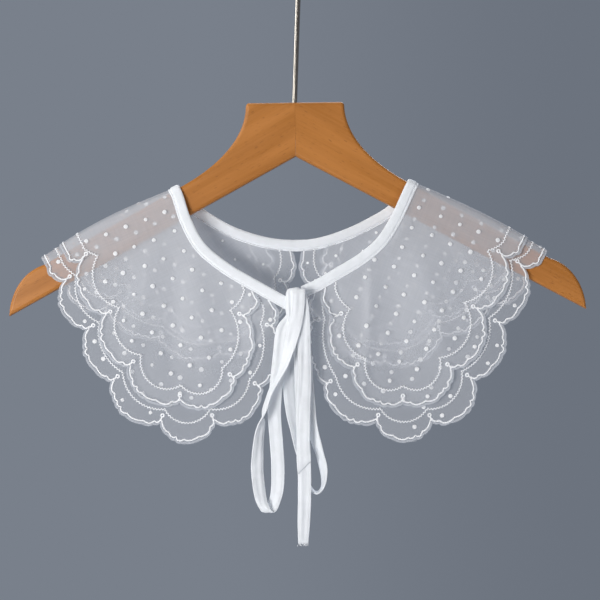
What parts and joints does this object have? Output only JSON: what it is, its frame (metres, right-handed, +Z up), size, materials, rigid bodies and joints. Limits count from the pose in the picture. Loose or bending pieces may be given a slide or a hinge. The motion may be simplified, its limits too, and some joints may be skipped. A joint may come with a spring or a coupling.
{
  "type": "false collar on a hanger",
  "caption": "Two-layer scalloped organza false collar with a bound neck tied in a bow, hung on a wooden hanger with a steel hook.",
  "frame": {"origin": "the inner top of the hanger's hook, where the rail that holds it touches", "axes": "+Z up, +X to the right of someone who faces the bow, +Y from the bow towards the back of the neck"},
  "size_m": [0.4398, 0.0588, 0.4718],
  "materials": {
    "organza": "sheer",
    "tie_tape": "satin",
    "hanger_wood": "satin lacquer",
    "hook_steel": "polished"
  },
  "bodies": {
    "root": {"hanger_arm_left": "hanger_wood", "hanger_arm_right": "hanger_wood", "hanger_hook": "hook_steel", "left_under_layer": "organza", "left_top_layer": "organza", "right_under_layer": "organza", "right_top_layer": "organza", "neck_binding": "tie_tape", "bow_knot": "tie_tape", "bow_loop_left": "tie_tape", "bow_loop_right": "tie_tape", "bow_tail_front": "tie_tape", "bow_tail_back": "tie_tape"}
  },
  "joints": []
}
